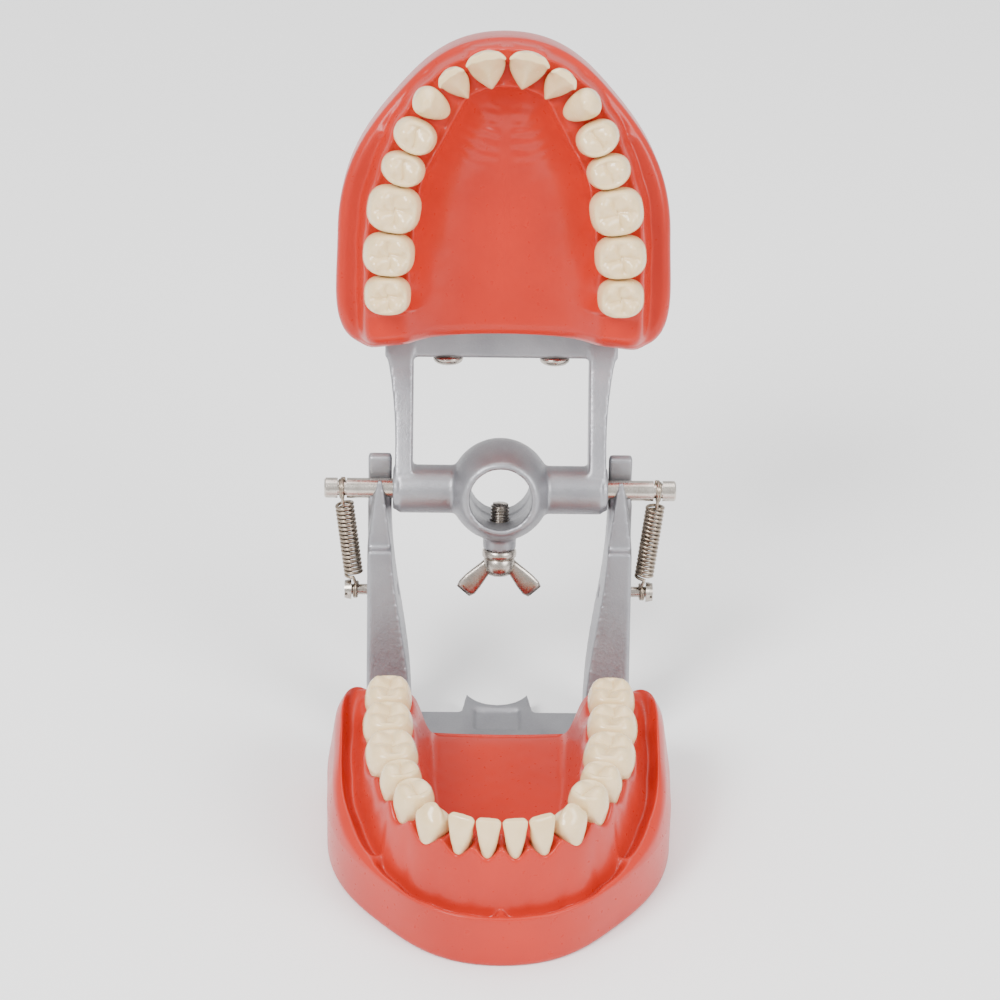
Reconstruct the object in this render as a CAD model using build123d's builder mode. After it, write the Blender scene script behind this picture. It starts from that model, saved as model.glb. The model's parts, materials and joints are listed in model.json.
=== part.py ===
"""Typodont: two toothed jaws on a cast articulator with lifting hinge pins, springs and a rod clamp.

+X is the model's left, the incisors face -Y and +Z is up. The origin is the centre of the lower
frame plate's underside. Each jaw is drawn in its own axes: x across, p forwards from the hinge
axis to the incisors, and n from the frame plate towards the teeth.
"""
import os
from math import atan2, cos, degrees, radians, sin, sqrt

from build123d import *

os.makedirs("parts", exist_ok=True)

# ---- driving dimensions (mm) ----
HINGE_Z = 50.3               # hinge axis above the rest face
HINGE_Y = 52.0               # hinge axis behind the origin
REST_LEAN = 16.5             # degrees the open upper jaw leans back from vertical
BITE_GAP = 0.35              # clearance between the closed tooth rows
PLATE_T = 4.0
SLAB_H = 10.7
PIN_R = 2.1
PIN_END = 36.2
PIN_START = 14.0
PIN_PLAY = 0.04
BORE_R = 6.35                # seat for a half-inch support rod
RING_LENGTH = 20.0
LAND = 7.0                   # length of each seating land in the ring
SCREW_R = 1.97
THREAD_HOLE_R = 2.03

# jaw sizes: outline, slab bottom, ridge top and occlusal plane along n, outward lean of the front teeth
LOWER = dict(front=94.5, half=34.1, rear=29.5, bottom=0.0, ridge=21.4, bite=29.8 - BITE_GAP / 2, flare=0.3)
UPPER = dict(front=93.4, half=33.6, rear=30.7, bottom=-9.5, ridge=12.0, bite=20.5 - BITE_GAP / 2, flare=2.4)
WIDEST = 54.0                # p where the jaw is widest
SHOULDER_X = 0.635           # shoulder point of the outline, as shares of half width and depth
SHOULDER_P = 0.72
REAR_HALF = 27.0             # half width of the rear edge between its corners
REAR_HOLLOW = 2.2
POCKET_WALL = 4.2            # rim of pink plastic around the frame plate
POCKET_GAP = 0.1

# tooth sizes in order from the midline: name, width along the arch, depth across it
LOWER_TEETH = [
    ("central_incisor", 4.8, 5.6),
    ("lateral_incisor", 5.3, 5.9),
    ("canine", 7.3, 7.4),
    ("first_premolar", 7.4, 7.8),
    ("second_premolar", 6.7, 8.2),
    ("first_molar", 10.8, 10.2),
    ("second_molar", 9.8, 10.0),
    ("third_molar", 9.4, 9.4),
]
UPPER_TEETH = [
    ("central_incisor", 8.0, 6.6),
    ("lateral_incisor", 5.9, 6.0),
    ("canine", 6.9, 7.8),
    ("first_premolar", 7.0, 8.8),
    ("second_premolar", 6.8, 8.9),
    ("first_molar", 9.5, 10.8),
    ("second_molar", 8.7, 10.4),
    ("third_molar", 7.7, 9.4),
]
LOWER_ARCH = dict(a=22.2, b=43.5, start=44.0, power=2.4)
UPPER_ARCH = dict(a=23.2, b=46.0, start=43.0, power=2.25)
TOOTH_GAP = 0.35
# crown sections: share of the crown's height, then of the tooth's width and depth
BITING_LEVELS = [(0.0, 0.74, 0.86), (0.4, 1.0, 1.0), (1.0, 0.94, 0.27)]
CHEWING_LEVELS = [(0.0, 0.8, 0.78), (0.45, 1.0, 1.0), (1.0, 0.82, 0.66)]
CORNER_SHARE = 0.42          # corner radius of a molar's section, as a share of its narrower side
RIDGE_OUT_FRONT = 4.2        # gum ridge at its foot, outside the arch line at the incisors
RIDGE_OUT = 7.6              # and at the molars
RIDGE_IN = 7.2               # and inside the arch line
RIDGE_DRAW = 1.6             # how much each side of the ridge narrows to its top
RIM_W = 5.0                  # outer rim of the gum
LOWER_RIM = [(92.0, 0.8), (76.0, 2.6), (58.0, 8.0), (44.0, 11.5), (29.0, 12.4)]
UPPER_RIM = [(90.0, 4.2), (28.0, 5.6)]
RIM_MOUTH = 13.5             # half width of the gap in the rim at the rear
ROOT_R = 1.6
SOCKET_GAP = 0.05
TOOTH_SCREW_R = 0.8
TOOTH_SCREW_GRIP = 5.0
TOOTH_SCREW_HEAD_R = 1.7
TOOTH_SCREW_HEAD_H = 1.2

# lower frame
POST_OUT = 27.25
POST_IN_TOP = 22.35
POST_IN_FOOT = 18.0
PRONG_RISE = 6.5             # rear prong above the hinge axis
PRONG_BACK = 4.6             # and behind it
FRONT_PRONG_RISE = 3.5
FRONT_PRONG_TIP = 1.1        # width of the front prong's pointed top
STEP_DROP = 10.4             # front prong's step below the hinge axis
NOTCH_R = PIN_R + PIN_PLAY
FOOT_BACK = 8.5
FOOT_FRONT = 24.0
LOWER_TONGUE = 22.0          # half width of the lower plate where it enters the slab
LOWER_PLATE_REAR = 12.8      # p of the lower plate's rear edge
LOWER_NECK_END = 28.5        # p where the plate narrows to the tongue
ROD_NOTCH_R = 6.9
ROD_NOTCH_P = 3.1
EAR_HALF = 6.45
EAR_END = 6.0
PLATE_POCKET = (9.8, 8.0, 0.8)
PLATE_POCKET_P = 15.5

# upper frame
UPPER_PLATE_REAR = 26.4
BAR_IN = 18.06
BAR_OUT = 21.7
BAR_FLARE = 24.0
BAR_INTO_PLATE = 34.0
CROSSBAR_R = 5.0
CROSSBAR_HALF = 20.9
TRUNNION_R = 4.3
TRUNNION_HALF = 22.1
RING_RIM_R = 7.9
RING_BARREL_R = 10.5
RING_BREAK = 0.6
BORE_RELIEF = 0.25           # extra bore radius between the seating lands
CLAMP_BOSS_R = 3.45
CLAMP_BOSS_END = 12.6

# screws that lock the upper jaw, along p into the plate's rear edge
EDGE_SCREW_X = 11.0
EDGE_SCREW_N = -7.5
EDGE_SCREW_R = 1.5
EDGE_SCREW_LENGTH = 8.5
EDGE_SCREW_HEAD = (3.15, 1.9)

# screws that hold the lower jaw to its plate
JAW_SCREW_X = 11.0
JAW_SCREW_P = 50.0
JAW_SCREW_R = 1.5
JAW_SCREW_HEAD_R = 2.6
JAW_SCREW_HEAD_H = 1.2
JAW_SCREW_RECESS = 0.4
JAW_SCREW_LENGTH = 7.5

# hinge pins
GROOVE_R = 1.55
GROOVE_W = 1.9
GROOVE_LAND = 2.7            # from the groove to the pin's end
PIN_BREAK = 0.3

# springs and their anchor screws
WIRE_R = 0.35
COIL_R = 2.05
COIL_TURNS = 18
LOOP_X = 32.55
ANCHOR_X = 29.75
ANCHOR_P = 4.0
ANCHOR_Z = 28.3
ANCHOR_R = 1.1
ANCHOR_START = 23.0
ANCHOR_HEAD_X = 30.65
ANCHOR_HEAD = (2.15, 1.4)
ANCHOR_SLOT = (0.55, 0.8)
PIN_LOOP_R = 1.95
ANCHOR_LOOP_R = 1.5
LOOP_SHIFT = 0.38            # each end loop is a pair of coils this far either side of its middle
LOOP_REACH = 3.2             # from a loop's centre to the start of the coil

# rod clamp, along -p from the ring
COLLAR_R = 3.55
COLLAR_H = 1.8
HUB_R = 3.25
HUB_LENGTH = 3.9
TIP_AT = 2.85                # distance of the screw's tip from the ring's axis
WING_T = 2.2

# ---- jaw axes ----
lean = radians(REST_LEAN)
hinge = Vector(0, HINGE_Y, HINGE_Z)
up_p = Vector(0, sin(lean), cos(lean))
up_n = Vector(0, -cos(lean), sin(lean))
low_p = Vector(0, -1, 0)
low_n = Vector(0, 0, 1)
low_origin = Vector(0, HINGE_Y, 0)

UP = Plane(origin=hinge, x_dir=(1, 0, 0), z_dir=up_n)
LOW = Plane(origin=low_origin, x_dir=(-1, 0, 0), z_dir=low_n)
UP_SIDE = Plane(origin=hinge, x_dir=up_p, z_dir=(1, 0, 0))
LOW_SIDE = Plane(origin=low_origin, x_dir=low_p, z_dir=(-1, 0, 0))
LOW_FRONT = Plane(origin=low_origin, x_dir=(1, 0, 0), z_dir=(0, -1, 0))


def finish(builder, label):
    """Label a finished piece and write it."""
    builder.part.label = label
    export_step(builder.part, f"parts/{label}.step")


def arch_point(arch, distance):
    """Point and turn of the arch curve at a distance from the midline, on the +x side."""
    steps = 1500
    x, p = 0.0, arch["start"] + arch["b"]
    walked = 0.0
    for i in range(1, steps + 1):
        t = radians(90.0 * i / steps)
        nx = arch["a"] * sin(t) ** (2 / arch["power"])
        np = arch["start"] + arch["b"] * max(cos(t), 0.0) ** (2 / arch["power"])
        step = sqrt((nx - x) ** 2 + (np - p) ** 2)
        if walked + step >= distance:
            return nx, np, degrees(atan2(np - p, nx - x))
        walked += step
        x, p = nx, np
    return x, p - (distance - walked), -90.0


def tooth_places(teeth, arch):
    """Each tooth's name, sizes, place and turn, walking along the arch from the midline."""
    walked = 0.0
    for name, width, depth in teeth:
        x, p, turn = arch_point(arch, walked + width / 2)
        yield name, width, depth, x, p, turn
        walked += width


def jaw_outline(jaw, inset=0.0, mode=Mode.ADD):
    """Horseshoe outline of a jaw's slab, seen from the teeth, drawn in the active sketch."""
    front = jaw["front"] - inset
    half = jaw["half"] - inset
    rear = jaw["rear"] + inset
    corner = REAR_HALF - 0.7 * inset
    shoulder = (half * SHOULDER_X, WIDEST + (front - WIDEST) * SHOULDER_P)
    with BuildLine() as outline:
        Spline((0, front), shoulder, (half, WIDEST), tangents=[(1, 0), (0, -1)])
        Spline((half, WIDEST), (corner, rear), tangents=[(0, -1), (-1, -0.1)])
        ThreePointArc((corner, rear), (0, rear + REAR_HOLLOW), (-corner, rear))
        Spline((-corner, rear), (-half, WIDEST), tangents=[(-1, 0.1), (0, 1)])
        Spline((-half, WIDEST), (-shoulder[0], shoulder[1]), (0, front), tangents=[(0, 1), (1, 0)])
    make_face(outline.edges(), mode=mode)


def ridge_outline(arch, draw, length):
    """U-shaped band along the arch, each side drawn in by the given amount, in the active sketch."""
    inside = RIDGE_IN - draw
    outer = []
    inner = []
    count = 7
    for i in range(count):
        x, p, turn = arch_point(arch, length * i / (count - 1))
        across = radians(turn + 90 if i else 90)
        outside = RIDGE_OUT_FRONT + (RIDGE_OUT - RIDGE_OUT_FRONT) * min(1, i / 3) - draw
        outer.append((x + outside * cos(across), p + outside * sin(across)))
        inner.append((x - inside * cos(across), p - inside * sin(across)))
    with BuildLine() as band:
        Spline(*[(-x, p) for x, p in reversed(outer)], *outer[1:])
        Line(outer[-1], inner[-1])
        Spline(*reversed(inner), *[(-x, p) for x, p in inner[1:]])
        Line((-inner[-1][0], inner[-1][1]), (-outer[-1][0], outer[-1][1]))
    make_face(band.edges())


def jaw_screw_holes(plane, radius, depth):
    """Cut the pair of holes for the lower jaw's screws into the active part."""
    with BuildSketch(plane) as holes:
        for side in (1, -1):
            with Locations((side * JAW_SCREW_X, JAW_SCREW_P)):
                Circle(radius)
    extrude(holes.sketch, amount=depth, mode=Mode.SUBTRACT)


def build_base(jaw, plane, teeth, arch, mouth_half, label):
    """Hard pink slab with a pocket for the frame plate and a screw hole under every tooth."""
    pocket_roof = jaw["bottom"] + PLATE_T + POCKET_GAP
    top = jaw["bottom"] + SLAB_H
    with BuildPart() as base:
        with BuildSketch(plane.offset(jaw["bottom"])):
            jaw_outline(jaw)
        extrude(amount=SLAB_H)
        with BuildSketch(plane.offset(jaw["bottom"])):
            jaw_outline(jaw, POCKET_WALL)
            with Locations((0, jaw["rear"] + 4)):
                Rectangle(2 * (mouth_half + POCKET_GAP), 20)
        extrude(amount=PLATE_T + POCKET_GAP, mode=Mode.SUBTRACT)
        for _, _, _, x, p, _ in tooth_places(teeth, arch):
            for side in (1, -1):
                with BuildSketch(plane.offset(pocket_roof)):
                    with Locations((side * x, p)):
                        Circle(TOOTH_SCREW_R + SOCKET_GAP)
                extrude(amount=top - pocket_roof, mode=Mode.SUBTRACT)
                with BuildSketch(plane.offset(pocket_roof)):
                    with Locations((side * x, p)):
                        Circle(TOOTH_SCREW_HEAD_R + SOCKET_GAP)
                extrude(amount=TOOTH_SCREW_HEAD_H, mode=Mode.SUBTRACT)
        if jaw is LOWER:
            jaw_screw_holes(plane, JAW_SCREW_R, JAW_SCREW_RECESS + JAW_SCREW_LENGTH)
    finish(base, label)


def build_rim(jaw, plane, side_plane, heights):
    """Outer rim of the gum, its top following the given heights from front to rear."""
    foot = jaw["bottom"] + SLAB_H
    with BuildPart() as rim:
        with BuildSketch(plane.offset(foot)):
            jaw_outline(jaw)
            jaw_outline(jaw, RIM_W, mode=Mode.SUBTRACT)
            with Locations((0, jaw["rear"])):
                Rectangle(2 * RIM_MOUTH, 20, mode=Mode.SUBTRACT)
        extrude(amount=20)
        with BuildSketch(side_plane):
            with BuildLine():
                top = [(p, foot + height) for p, height in heights]
                Polyline((100, foot), (100, top[0][1]), *top, (20, top[-1][1]), (20, foot), close=True)
            make_face()
        extrude(amount=50, both=True, mode=Mode.INTERSECT)
    return rim.part


def build_gingiva(jaw, plane, side_plane, heights, teeth, arch, label):
    """Gum ridge along the arch and outer rim, with a socket for every root."""
    foot = jaw["bottom"] + SLAB_H
    height = jaw["ridge"] - foot
    length = sum(width for _, width, _ in teeth) + 1.5
    with BuildPart() as gum:
        for level, draw in ((foot, 0.0), (jaw["ridge"], RIDGE_DRAW)):
            with BuildSketch(plane.offset(level)):
                ridge_outline(arch, draw, length - draw)
        loft()
        add(build_rim(jaw, plane, side_plane, heights))
        for _, _, _, x, p, _ in tooth_places(teeth, arch):
            for side in (1, -1):
                with BuildSketch(plane.offset(foot)):
                    with Locations((side * x, p)):
                        Circle(ROOT_R + SOCKET_GAP)
                extrude(amount=height, mode=Mode.SUBTRACT)
    finish(gum, label)


def build_teeth(jaw, plane, teeth, arch, left_sign, prefix):
    """One solid per tooth: lofted crown, straight root and a blind hole for its screw."""
    foot = jaw["bottom"] + SLAB_H
    crown = jaw["bite"] - jaw["ridge"]
    for name, width, depth, x, p, turn in tooth_places(teeth, arch):
        wide = width - TOOTH_GAP
        biting = "incisor" in name or "canine" in name
        for side in (1, -1):
            place = Location((side * x, p, 0), (0, 0, side * turn))
            with BuildPart() as tooth:
                for share, w, d in BITING_LEVELS if biting else CHEWING_LEVELS:
                    outward = jaw["flare"] * share if biting else 0.0
                    corner = CORNER_SHARE * min(w * wide, d * depth)
                    with BuildSketch(plane.offset(jaw["ridge"] + share * crown)):
                        with Locations(place * Location((0, outward, 0))):
                            if biting:
                                Ellipse(w * wide / 2, d * depth / 2)
                            else:
                                RectangleRounded(w * wide, d * depth, corner)
                loft()
                with BuildSketch(plane.offset(foot)):
                    with Locations(place):
                        Circle(ROOT_R)
                extrude(amount=jaw["ridge"] - foot)
                with BuildSketch(plane.offset(foot)):
                    with Locations(place):
                        Circle(TOOTH_SCREW_R)
                extrude(amount=TOOTH_SCREW_GRIP, mode=Mode.SUBTRACT)
            hand = "left" if side == left_sign else "right"
            finish(tooth, f"{prefix}_{hand}_{name}")


def build_tooth_screws(jaw, plane, teeth, arch, label):
    """The small screws that hold the teeth from inside the plate pocket."""
    seat = jaw["bottom"] + PLATE_T + POCKET_GAP
    length = jaw["bottom"] + SLAB_H + TOOTH_SCREW_GRIP - seat
    with BuildPart() as screws:
        for _, _, _, x, p, _ in tooth_places(teeth, arch):
            for side in (1, -1):
                with BuildSketch(plane.offset(seat)):
                    with Locations((side * x, p)):
                        Circle(TOOTH_SCREW_R)
                extrude(amount=length)
                with BuildSketch(plane.offset(seat)):
                    with Locations((side * x, p)):
                        Circle(TOOTH_SCREW_HEAD_R)
                extrude(amount=TOOTH_SCREW_HEAD_H)
    finish(screws, label)


# ---- jaws ----
build_base(LOWER, LOW, LOWER_TEETH, LOWER_ARCH, LOWER_TONGUE, "lower_base")
build_base(UPPER, UP, UPPER_TEETH, UPPER_ARCH, BAR_FLARE, "upper_base")
build_gingiva(LOWER, LOW, LOW_SIDE, LOWER_RIM, LOWER_TEETH, LOWER_ARCH, "lower_gingiva")
build_gingiva(UPPER, UP, UP_SIDE, UPPER_RIM, UPPER_TEETH, UPPER_ARCH, "upper_gingiva")
build_teeth(LOWER, LOW, LOWER_TEETH, LOWER_ARCH, -1, "lower")
build_teeth(UPPER, UP, UPPER_TEETH, UPPER_ARCH, 1, "upper")
build_tooth_screws(LOWER, LOW, LOWER_TEETH, LOWER_ARCH, "lower_tooth_screws")
build_tooth_screws(UPPER, UP, UPPER_TEETH, UPPER_ARCH, "upper_tooth_screws")

# ---- lower frame: two forked posts on a plate ----
with BuildPart() as lower_frame:
    with BuildSketch(LOW_SIDE):
        with BuildLine():
            Polyline(
                (FOOT_FRONT, 0),
                (FOOT_BACK, 0),
                (FOOT_BACK - 1.5, 8),
                (-PRONG_BACK + 0.6, HINGE_Z - 9),
                (-PRONG_BACK, HINGE_Z + PRONG_RISE - 1),
                (-PRONG_BACK + 1, HINGE_Z + PRONG_RISE),
                (-NOTCH_R, HINGE_Z + PRONG_RISE - 0.6),
                (-NOTCH_R, HINGE_Z),
            )
            ThreePointArc((-NOTCH_R, HINGE_Z), (0, HINGE_Z - NOTCH_R), (NOTCH_R, HINGE_Z))
            Polyline(
                (NOTCH_R, HINGE_Z),
                (NOTCH_R, HINGE_Z + FRONT_PRONG_RISE - 0.5),
                (NOTCH_R + 0.5, HINGE_Z + FRONT_PRONG_RISE),
                (6.6, HINGE_Z - STEP_DROP),
                (8.2, HINGE_Z - STEP_DROP),
                (18.5, 8),
                (FOOT_FRONT, PLATE_T),
                (FOOT_FRONT, 0),
            )
        make_face()
    extrude(amount=POST_OUT, both=True)
    with BuildSketch(LOW_FRONT):
        for side in (1, -1):
            with BuildLine():
                Polyline(
                    (side * POST_OUT, 0),
                    (side * POST_OUT, HINGE_Z + PRONG_RISE),
                    (side * POST_IN_TOP, HINGE_Z + PRONG_RISE),
                    (side * POST_IN_TOP, HINGE_Z - STEP_DROP + 4),
                )
                Spline(
                    (side * POST_IN_TOP, HINGE_Z - STEP_DROP + 4),
                    (side * (POST_IN_FOOT + 1.4), 20),
                    (side * POST_IN_FOOT, PLATE_T),
                    tangents=[(0, -1), (0, -1)],
                )
                Polyline((side * POST_IN_FOOT, PLATE_T), (side * POST_IN_FOOT, 0), (side * POST_OUT, 0))
            make_face()
    extrude(amount=40, both=True, mode=Mode.INTERSECT)
    with BuildSketch(LOW_FRONT.offset(NOTCH_R)):
        tip_middle = (POST_OUT + POST_IN_TOP) / 2
        step = HINGE_Z - STEP_DROP
        crest = HINGE_Z + FRONT_PRONG_RISE
        for side in (1, -1):
            for face, away in ((POST_OUT, 1), (POST_IN_TOP, -1)):
                tip = tip_middle + away * FRONT_PRONG_TIP / 2
                with BuildLine():
                    Polyline(
                        (side * face, step),
                        (side * tip, crest),
                        (side * tip, crest + 1),
                        (side * (face + away), crest + 1),
                        (side * (face + away), step),
                        close=True,
                    )
                make_face()
    extrude(amount=FOOT_FRONT, mode=Mode.SUBTRACT)
    with BuildSketch(LOW):
        jaw_outline(LOWER, POCKET_WALL + POCKET_GAP)
        with Locations((0, (LOWER_PLATE_REAR + LOWER_NECK_END) / 2)):
            Rectangle(2 * POST_OUT, LOWER_NECK_END - LOWER_PLATE_REAR)
        with Locations((0, 36)):
            Rectangle(2 * LOWER_TONGUE, 20)
        with BuildLine():
            Polyline(
                (-EAR_HALF - 1.2, LOWER_PLATE_REAR + 1),
                (-EAR_HALF, EAR_END),
                (EAR_HALF, EAR_END),
                (EAR_HALF + 1.2, LOWER_PLATE_REAR + 1),
                close=True,
            )
        make_face()
    extrude(amount=PLATE_T)
    with BuildSketch(LOW):
        with Locations((0, ROD_NOTCH_P)):
            Circle(ROD_NOTCH_R)
    extrude(amount=PLATE_T, mode=Mode.SUBTRACT)
    with BuildSketch(LOW.offset(PLATE_T - PLATE_POCKET[2])):
        with Locations((0, PLATE_POCKET_P)):
            Rectangle(PLATE_POCKET[0], PLATE_POCKET[1])
    extrude(amount=PLATE_POCKET[2], mode=Mode.SUBTRACT)
    with BuildSketch(LOW_SIDE):
        with Locations((ANCHOR_P, ANCHOR_Z)):
            Circle(ANCHOR_R)
    extrude(amount=40, both=True, mode=Mode.SUBTRACT)
    jaw_screw_holes(LOW, JAW_SCREW_HEAD_R, JAW_SCREW_RECESS + JAW_SCREW_HEAD_H)
    jaw_screw_holes(LOW, JAW_SCREW_R, PLATE_T)
finish(lower_frame, "lower_frame")

# ---- upper frame: plate, two side bars, crossbar with trunnion bores and clamp ring ----
UPPER_BOTTOM = UPPER["bottom"]
EDGE = Plane(origin=hinge + up_p * UPPER_PLATE_REAR, x_dir=(1, 0, 0), z_dir=up_p)
CLAMP = Plane(origin=hinge, x_dir=(1, 0, 0), z_dir=-up_p)
with BuildPart() as upper_frame:
    with BuildSketch(UP_SIDE):
        with BuildLine():
            Polyline(
                (BAR_INTO_PLATE, UPPER_BOTTOM),
                (BAR_INTO_PLATE, UPPER_BOTTOM + PLATE_T),
                (UPPER["rear"] - 1, UPPER_BOTTOM + PLATE_T),
                (UPPER_PLATE_REAR - 2, UPPER_BOTTOM + PLATE_T + 1),
                (16, -1.5),
                (4, 3.6),
                (-2.5, 4.2),
                (-4.6, 0),
                (-2.5, -4.2),
                (5, -5.6),
                (17, UPPER_BOTTOM + 0.8),
                (24, UPPER_BOTTOM),
                close=True,
            )
        make_face()
    extrude(amount=BAR_FLARE, both=True)
    with BuildSketch(UP):
        for side in (1, -1):
            with BuildLine():
                Polyline(
                    (side * BAR_IN, -8),
                    (side * BAR_IN, BAR_INTO_PLATE),
                    (side * BAR_FLARE, BAR_INTO_PLATE),
                    (side * BAR_FLARE, UPPER_PLATE_REAR + 2),
                )
                Spline(
                    (side * BAR_FLARE, UPPER_PLATE_REAR + 2),
                    (side * (BAR_OUT + 0.5), 18),
                    (side * BAR_OUT, 8),
                    tangents=[(-side * 0.25, -1), (0, -1)],
                )
                Polyline((side * BAR_OUT, 8), (side * BAR_OUT, -8), (side * BAR_IN, -8))
            make_face()
    extrude(amount=30, both=True, mode=Mode.INTERSECT)
    with BuildSketch(UP.offset(UPPER_BOTTOM)):
        jaw_outline(UPPER, POCKET_WALL + POCKET_GAP)
        with Locations((0, (UPPER_PLATE_REAR + 45) / 2)):
            Rectangle(2 * BAR_FLARE, 45 - UPPER_PLATE_REAR)
    extrude(amount=PLATE_T)
    with BuildSketch(UP_SIDE):
        Circle(CROSSBAR_R)
    extrude(amount=CROSSBAR_HALF, both=True)
    with BuildSketch(UP_SIDE):
        Circle(TRUNNION_R)
    extrude(amount=TRUNNION_HALF, both=True)
    with BuildSketch(UP_SIDE):
        with BuildLine():
            half = RING_LENGTH / 2
            Line((0, -half), (RING_RIM_R - RING_BREAK, -half))
            Line((RING_RIM_R - RING_BREAK, -half), (RING_RIM_R, -half + RING_BREAK))
            Spline((RING_RIM_R, -half + RING_BREAK), (RING_BARREL_R, 0), (RING_RIM_R, half - RING_BREAK))
            Line((RING_RIM_R, half - RING_BREAK), (RING_RIM_R - RING_BREAK, half))
            Line((RING_RIM_R - RING_BREAK, half), (0, half))
            Line((0, half), (0, -half))
        make_face()
    revolve(axis=Axis(hinge, up_n))
    with BuildSketch(CLAMP):
        Circle(CLAMP_BOSS_R)
    extrude(amount=CLAMP_BOSS_END)
    with BuildSketch(UP):
        Circle(BORE_R)
    extrude(amount=RING_LENGTH, both=True, mode=Mode.SUBTRACT)
    with BuildSketch(UP):
        Circle(BORE_R + BORE_RELIEF)
    extrude(amount=RING_LENGTH / 2 - LAND, both=True, mode=Mode.SUBTRACT)
    with BuildSketch(CLAMP):
        Circle(THREAD_HOLE_R)
    extrude(amount=20, mode=Mode.SUBTRACT)
    for side in (1, -1):
        with BuildSketch(Plane(origin=hinge + Vector(side * (PIN_START - 1), 0, 0), z_dir=(side, 0, 0))):
            Circle(PIN_R + PIN_PLAY)
        extrude(amount=20, mode=Mode.SUBTRACT)
    with BuildSketch(EDGE):
        for side in (1, -1):
            with Locations((side * EDGE_SCREW_X, -EDGE_SCREW_N)):
                Circle(EDGE_SCREW_R)
    extrude(amount=EDGE_SCREW_LENGTH + 0.5, mode=Mode.SUBTRACT)
finish(upper_frame, "upper_frame")

# ---- screws that lock the upper jaw, driven into the plate's rear edge ----
with BuildPart() as upper_jaw_screws:
    for side in (1, -1):
        with BuildSketch(EDGE):
            with Locations((side * EDGE_SCREW_X, -EDGE_SCREW_N)):
                Circle(EDGE_SCREW_R)
        extrude(amount=EDGE_SCREW_LENGTH)
        with BuildSketch(Plane(origin=EDGE.origin, x_dir=(1, 0, 0), z_dir=-up_p)):
            with Locations((side * EDGE_SCREW_X, EDGE_SCREW_N)):
                Circle(EDGE_SCREW_HEAD[0])
        extrude(amount=EDGE_SCREW_HEAD[1], taper=18)
finish(upper_jaw_screws, "upper_jaw_screws")

# ---- hinge pins ----
for side, hand in ((1, "left"), (-1, "right")):
    groove_start = PIN_END - GROOVE_LAND - GROOVE_W
    with BuildPart() as pin:
        with BuildSketch(Plane(origin=hinge + Vector(side * PIN_START, 0, 0), z_dir=(side, 0, 0))):
            Circle(PIN_R)
        extrude(amount=PIN_END - PIN_START)
        with BuildSketch(Plane(origin=hinge + Vector(side * groove_start, 0, 0), z_dir=(side, 0, 0))):
            Circle(PIN_R + 1)
            Circle(GROOVE_R, mode=Mode.SUBTRACT)
        extrude(amount=GROOVE_W, mode=Mode.SUBTRACT)
        chamfer(pin.edges().filter_by(GeomType.CIRCLE).sort_by(Axis.X)[-1 if side > 0 else 0], PIN_BREAK)
    finish(pin, f"{hand}_hinge_pin")

# ---- tension springs ----
for side, hand in ((1, "left"), (-1, "right")):
    top = hinge + Vector(side * LOOP_X, 0, 0)
    low = Vector(side * ANCHOR_X, HINGE_Y - ANCHOR_P, ANCHOR_Z)
    along = (low - top).normalized()
    coil_length = (low - top).length - 2 * LOOP_REACH
    pitch = (coil_length - 2 * WIRE_R) / (COIL_TURNS - 1)
    across = along.cross(Vector(side, 0, 0)).normalized()
    coil_top = top + along * LOOP_REACH
    coil_side = Plane(origin=coil_top, x_dir=across, z_dir=across.cross(along))
    with BuildPart() as spring:
        with BuildSketch(coil_side):
            with Locations((COIL_R - WIRE_R, coil_length / 2)):
                Rectangle(WIRE_R, coil_length)
            with Locations((COIL_R - WIRE_R, coil_length / 2)):
                with GridLocations(1, pitch, 1, COIL_TURNS):
                    Circle(WIRE_R)
        revolve(axis=Axis(coil_top, along))
        for centre, radius in ((top, PIN_LOOP_R), (low, ANCHOR_LOOP_R)):
            for shift in (-LOOP_SHIFT, LOOP_SHIFT):
                with Locations(Plane(origin=centre + Vector(shift, 0, 0), z_dir=(1, 0, 0))):
                    Torus(radius, WIRE_R)
        for start, reach in ((top, PIN_LOOP_R), (low, -ANCHOR_LOOP_R)):
            direction = along if reach > 0 else along * -1
            with BuildSketch(Plane(origin=start + direction * abs(reach), z_dir=direction)):
                Circle(WIRE_R)
            extrude(amount=LOOP_REACH - abs(reach) + 2 * WIRE_R)
        for start, direction in ((coil_top, along), (low - along * LOOP_REACH, along * -1)):
            with BuildSketch(Plane(origin=start, z_dir=direction)):
                Circle(COIL_R - WIRE_R)
            extrude(amount=2 * WIRE_R)
    finish(spring, f"{hand}_spring")

# ---- slotted anchor screws on the posts' outer faces ----
with BuildPart() as spring_screws:
    for side in (1, -1):
        centre = Vector(0, HINGE_Y - ANCHOR_P, ANCHOR_Z)
        with BuildSketch(Plane(origin=centre + Vector(side * ANCHOR_START, 0, 0), z_dir=(side, 0, 0))):
            Circle(ANCHOR_R)
        extrude(amount=ANCHOR_HEAD_X - ANCHOR_START)
        with BuildSketch(Plane(origin=centre + Vector(side * ANCHOR_HEAD_X, 0, 0), z_dir=(side, 0, 0))):
            Circle(ANCHOR_HEAD[0])
        extrude(amount=ANCHOR_HEAD[1], taper=12)
        slot_x = side * (ANCHOR_HEAD_X + ANCHOR_SLOT[1])
        with BuildSketch(Plane(origin=centre + Vector(slot_x, 0, 0), z_dir=(side, 0, 0))):
            Rectangle(ANCHOR_SLOT[0], 5)
        extrude(amount=1, mode=Mode.SUBTRACT)
finish(spring_screws, "spring_screws")

# ---- rod clamp: loose collar and wing screw ----
HUB_START = CLAMP_BOSS_END + COLLAR_H
with BuildPart() as clamp_collar:
    with BuildSketch(CLAMP.offset(CLAMP_BOSS_END)):
        Circle(COLLAR_R)
        Circle(THREAD_HOLE_R, mode=Mode.SUBTRACT)
    extrude(amount=COLLAR_H)
finish(clamp_collar, "clamp_collar")

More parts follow.
